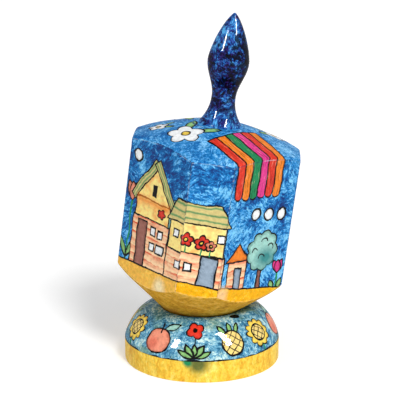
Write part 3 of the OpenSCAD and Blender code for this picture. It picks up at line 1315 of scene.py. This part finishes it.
# Sides of the outline that are longer than this are cut so often: wide faces, then corner flats
SIDE_CUTS = ((20 * MM, 15), (5 * MM, 7))
# Rings that the block's ends are drawn in by, as shares of its width
RING_SHARES = (0.955, 0.92, 0.86, 0.79, 0.71, 0.63, 0.55, 0.47, 0.39, 0.31, 0.25)
TIP_SHARES = (0.17, 0.1, 0.06, 0.035, 0.025, 0.012)


class DREIDEL_OT_block(bpy.types.Operator):
    """Plane, turn and paint the dreidel's block"""

    bl_idname = "dreidel.block"
    bl_label = "Block"

    def turned_body(self):
        """What the lathe leaves: a rounded tip, a cone and a swelling shoulder."""
        sizes = block_sizes()
        half = math.atan2(corner_radius(), sizes.cone)
        past = corner_radius() + PAST_CORNER
        foot = handle_sizes().foot / 2
        centre = sizes.tip_round / math.sin(half)

        def shoulder(share):
            radius = past + (foot - past) * share
            return radius, shoulder_height(radius)

        points = [(0, centre - sizes.tip_round)]
        points += arc((0, centre), sizes.tip_round, -90, -math.degrees(half), 8)
        points += [(past, past / math.tan(half)), shoulder(0)] + curve(40, shoulder)
        return turn_on_lathe("lathe_shape", points + [(0, seat_height())])

    def outline(self):
        """The block's outline: a square with its corners cut off and its edges sanded."""
        sizes = block_sizes()
        piece = new_square("dreidel_block_painted", sizes.width, math.pi / 4)
        bpy.ops.object.transform_apply(rotation=True)
        set_mode("EDIT")
        select_mesh()
        cut = sizes.corner_flat / math.sqrt(2)
        bpy.ops.mesh.bevel(offset=cut, segments=1, affect="VERTICES")
        select_mesh()
        rounding = sizes.arris * math.tan(math.pi / 8)
        bpy.ops.mesh.bevel(offset=rounding, segments=4, affect="VERTICES")
        select_mesh()
        bpy.ops.mesh.delete(type="ONLY_FACE")
        for longest, cuts in SIDE_CUTS:
            select_parts(piece, "EDGE", lambda edge: edge.calc_length() > longest)
            bpy.ops.mesh.subdivide(number_cuts=cuts)
        select_mesh()
        bpy.ops.mesh.edge_face_add()
        return piece

    def close_end(self, piece, height, shares):
        """Draws the end in towards the axis in rings, and merges the last one."""

        def at_end(face):
            away = abs(face.calc_center_median().z - height)
            return abs(face.normal.z) > 0.9 and away < NEAR

        select_parts(piece, "FACE", at_end)
        share_now = 1
        for share in shares:
            scale = share / share_now
            extrude()
            bpy.ops.transform.resize(value=(scale, scale, 1), center_override=(0, 0, height))
            share_now = share
        extrude()
        bpy.ops.mesh.merge(type="CENTER")

    def cut_ends(self, piece, lathe):
        """Draws both ends onto the lathe's shape."""
        wrap = piece.modifiers.new("turned_ends", "SHRINKWRAP")
        wrap.target = lathe
        wrap.wrap_method = "PROJECT"
        wrap.use_project_z = True
        wrap.use_negative_direction = True
        wrap.use_positive_direction = True
        select_only(piece)
        bpy.ops.object.modifier_apply(modifier=wrap.name)
        bpy.data.objects.remove(lathe)

    def sand_rims(self, piece):
        """Rounds the curved edges where the turned ends meet the flats."""
        set_mode("EDIT")
        select_mesh()
        bpy.ops.mesh.normals_make_consistent(inside=False)

        def between(edge):
            rises = sorted(abs(face.normal.z) for face in edge.link_faces)
            return len(rises) == 2 and rises[0] < 0.05 and rises[1] > 0.3

        select_parts(piece, "EDGE", between)
        bpy.ops.mesh.bevel(offset=block_sizes().rim_sanding, segments=3, affect="EDGES")
        set_mode("OBJECT")

    def drill_hole(self, piece):
        """Sinks the blind hole for the handle's tenon into the middle of the seat."""
        handle = handle_sizes()
        middle = Vector((0, 0, seat_height()))
        near = handle.glue_gap
        set_mode("EDIT")
        select_parts(piece, "VERT", lambda corner: (corner.co - middle).length < near)
        bpy.ops.mesh.dissolve_verts()
        select_parts(piece, "FACE", lambda face: (face.calc_center_median() - middle).length < near)
        extrude()
        bpy.ops.transform.tosphere(value=1, center_override=middle)
        shape = bmesh.from_edit_mesh(piece.data)
        round_now = next(corner.co.xy.length for corner in shape.verts if corner.select)
        scale = (handle.tenon / 2 + handle.glue_gap) / round_now
        bpy.ops.transform.resize(value=(scale, scale, 0), center_override=middle)
        extrude(-handle.tenon_length - handle.glue_well)
        set_mode("OBJECT")

    def decorate(self, piece):
        """Paints the walls, the shoulder and the cone, and leaves the hole bare."""
        materials = [wall_material(index - 4) for index in range(8)]
        shoulder = len(materials)
        materials += [shoulder_material(), cone_material(), wood_material()]
        handle = handle_sizes()
        seat = seat_height()

        def choose(face):
            below = seat - face.center.z
            inner = math.hypot(face.center.x, face.center.y) < handle.tenon
            if inner and handle.glue_gap < below < handle.tenon_length * 2:
                return shoulder + 2
            if face.normal.z > 0.5:
                return shoulder
            if face.normal.z < -0.35:
                return shoulder + 1
            turned = math.degrees(math.atan2(face.normal.y, face.normal.x)) + 90
            return (round(turned / 45) + 4) % 8

        paint(piece, materials, choose)

    def execute(self, context):
        lathe = self.turned_body()
        piece = self.outline()
        low = -PAST_END
        high = seat_height() + PAST_END
        bpy.ops.transform.translate(value=(0, 0, low))
        extrude(high - low)
        self.close_end(piece, high, RING_SHARES)
        self.close_end(piece, low, RING_SHARES + TIP_SHARES)
        set_mode("OBJECT")
        self.cut_ends(piece, lathe)
        self.sand_rims(piece)
        self.drill_hole(piece)
        smooth(piece, DREIDEL_CREASE)
        even = piece.modifiers.new("even_normals", "WEIGHTED_NORMAL")
        even.keep_sharp = True
        bpy.ops.object.modifier_apply(modifier=even.name)
        self.decorate(piece)
        settle(piece, in_stand())
        hand_over(piece, "dreidel", "dreidel_block")
        return {"FINISHED"}


# How quickly the foot's cove closes on the neck, and how full the handle's top is
COVE_POWER = 2.2
SPIRE_POWER = 1.4
SPIRE_CLOSE = 0.75


class DREIDEL_OT_handle(bpy.types.Operator):
    """Turn and paint the handle"""

    bl_idname = "dreidel.handle"
    bl_label = "Handle"

    def profile(self):
        sizes = handle_sizes()
        foot = sizes.foot / 2
        neck = sizes.neck / 2
        knob = sizes.knob / 2
        tenon = sizes.tenon / 2
        end = -sizes.tenon_length

        def cove(share):
            height = sizes.foot_edge + (sizes.neck_height - sizes.foot_edge) * share
            return neck + (foot - neck) * (1 - share) ** COVE_POWER, height

        def swelling(share):
            height = sizes.neck_height + (sizes.knob_height - sizes.neck_height) * share
            return neck + (knob - neck) * (1 - math.cos(math.pi * share)) / 2, height

        def spire(share):
            share = math.sin(math.pi / 2 * share)
            height = sizes.knob_height + (sizes.height - sizes.knob_height) * share
            return knob * max(0, 1 - share ** SPIRE_POWER) ** SPIRE_CLOSE, height

        points = [(0, end), (tenon - sizes.tenon_bevel, end), (tenon, end + sizes.tenon_bevel)]
        points += [(tenon, 0), (foot, 0), cove(0)]
        points += curve(30, cove) + curve(30, swelling) + curve(30, spire)
        return points[:-1] + [(0, sizes.height)]

    def execute(self, context):
        piece = turn_on_lathe("handle_painted", self.profile())
        smooth(piece, DREIDEL_CREASE)
        below_seat = -handle_sizes().glue_gap
        materials = [handle_material(), wood_material()]
        paint(piece, materials, lambda face: int(face.center.z < below_seat))
        settle(piece, in_stand() @ Matrix.Translation((0, 0, seat_height())))
        hand_over(piece, "dreidel", "handle")
        return {"FINISHED"}


FLOOR_SIZE = 8
FLOOR_COLOUR = (0.8, 0.8, 0.8)
FLOOR_ROUGHNESS = 0.9
FLOOR_GLOW = 0.34
WORLD_LIGHT = 0.26
LAMP_AIM = 0.07
LAMP_DISTANCE = 1.2
LAMP_SPREAD = 16
WINDOW_WIDTH = 0.19
# Watts from each square metre of a window
WINDOW_POWER = 540
# Name, azimuth and elevation in degrees, strength
LAMPS = (("front", 25, 42, 2.4), ("left", -55, 34, 0.42))
# Name, azimuth and elevation in degrees, height in metres
WINDOWS = (("right_window", 47, 47, 0.74), ("left_window", -46, 34, 0.4))
# Focal length and film width in millimetres, place in metres, turn up from straight down
LENS = 121.5
FILM_WIDTH = 36
CAMERA_PLACE = (-0.000717, -0.4981, 0.1891)
CAMERA_PITCH = 75.73


class DREIDEL_OT_studio(bpy.types.Operator):
    """Set up the floor, the lamps and the camera"""

    bl_idname = "dreidel.studio"
    bl_label = "Studio"

    def floor(self):
        floor = new_square("studio_floor", FLOOR_SIZE)
        shader = Shader("studio_floor")
        inputs = {
            "Base Color": (*FLOOR_COLOUR, 1),
            "Roughness": FLOOR_ROUGHNESS,
            "Emission Color": shader.scaled((1, 1, 1), shader.looked_at() * FLOOR_GLOW),
            "Emission Strength": 1,
        }
        floor.data.materials.append(shader.shade("BsdfPrincipled", inputs))
        floor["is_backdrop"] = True

    def lamp(self, kind, name, azimuth, elevation):
        """A lamp that shines on the object. Azimuth is counted from the front, to the right."""
        across = math.radians(azimuth)
        above = math.radians(elevation)
        away = Vector((
            math.sin(across) * math.cos(above),
            -math.cos(across) * math.cos(above),
            math.sin(above),
        ))
        lamp = bpy.data.objects.new(name, bpy.data.lights.new(name, kind))
        bpy.context.scene.collection.objects.link(lamp)
        lamp.location = Vector((0, 0, LAMP_AIM)) + away * LAMP_DISTANCE
        lamp.rotation_euler = away.to_track_quat("Z", "Y").to_euler()
        return lamp

    def soft_lamp(self, name, azimuth, elevation, strength):
        """A wide far lamp for the paint."""
        lamp = self.lamp("SUN", name, azimuth, elevation)
        lamp.data.angle = math.radians(LAMP_SPREAD)
        lamp.data.energy = strength
        lamp.visible_glossy = False

    def window(self, name, azimuth, elevation, height):
        """A tall window that only the varnish mirrors."""
        lamp = self.lamp("AREA", name, azimuth, elevation)
        lamp.data.shape = "RECTANGLE"
        lamp.data.size = WINDOW_WIDTH
        lamp.data.size_y = height
        lamp.data.energy = WINDOW_POWER * WINDOW_WIDTH * height
        lamp.visible_diffuse = False
        lamp.visible_camera = False

    def surroundings(self):
        """Soft light from all round, seen as white."""
        shader = Shader("studio", bpy.data.worlds.new("studio"))
        strength = shader.looked_at() * (1 - WORLD_LIGHT) + WORLD_LIGHT
        inputs = {"Color": (1, 1, 1, 1), "Strength": strength}
        return shader.shade("Background", inputs, "OutputWorld")

    def camera(self, scene):
        data = bpy.data.cameras.new("camera")
        data.lens = LENS
        data.sensor_width = FILM_WIDTH
        camera = bpy.data.objects.new("camera", data)
        scene.collection.objects.link(camera)
        camera.location = CAMERA_PLACE
        camera.rotation_euler = (math.radians(CAMERA_PITCH), 0, 0)
        return camera

    def execute(self, context):
        scene = context.scene
        self.floor()
        for values in LAMPS:
            self.soft_lamp(*values)
        for values in WINDOWS:
            self.window(*values)
        scene.world = self.surroundings()
        scene.camera = self.camera(scene)
        scene.view_settings.view_transform = "Standard"
        return {"FINISHED"}


class DREIDEL_PT_panel(bpy.types.Panel):
    """The sizes, the paints and the steps of the build"""

    bl_label = "Dreidel"
    bl_idname = "DREIDEL_PT_panel"
    bl_space_type = "VIEW_3D"
    bl_region_type = "UI"
    bl_category = "Dreidel"

    def draw(self, context):
        for name in GROUPS:
            group = getattr(context.scene, name)
            column = self.layout.box().column()
            for key in group.__annotations__:
                column.prop(group, key)
        for operator in OPERATORS:
            self.layout.operator(operator.bl_idname)


GROUPS = {
    "dreidel_stand": StandSizes,
    "dreidel_block": BlockSizes,
    "dreidel_handle": HandleSizes,
    "dreidel_paints": Paints,
}
OPERATORS = (
    DREIDEL_OT_studio,
    DREIDEL_OT_ring_stand,
    DREIDEL_OT_block,
    DREIDEL_OT_handle,
)


def register():
    for name, group in GROUPS.items():
        bpy.utils.register_class(group)
        setattr(bpy.types.Scene, name, bpy.props.PointerProperty(type=group))
    for operator in OPERATORS:
        bpy.utils.register_class(operator)
    bpy.utils.register_class(DREIDEL_PT_panel)


def unregister():
    bpy.utils.unregister_class(DREIDEL_PT_panel)
    for operator in reversed(OPERATORS):
        bpy.utils.unregister_class(operator)
    for name, group in GROUPS.items():
        delattr(bpy.types.Scene, name)
        bpy.utils.unregister_class(group)


def plain(corners):
    return [list(corner) for corner in corners]


def main():
    register()
    bpy.ops.dreidel.studio()
    bpy.ops.dreidel.ring_stand()
    bpy.ops.dreidel.block()
    bpy.ops.dreidel.handle()
    {"cad": plain(cad_box), "visual": plain(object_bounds())}


if __name__ == "__main__":
    main()
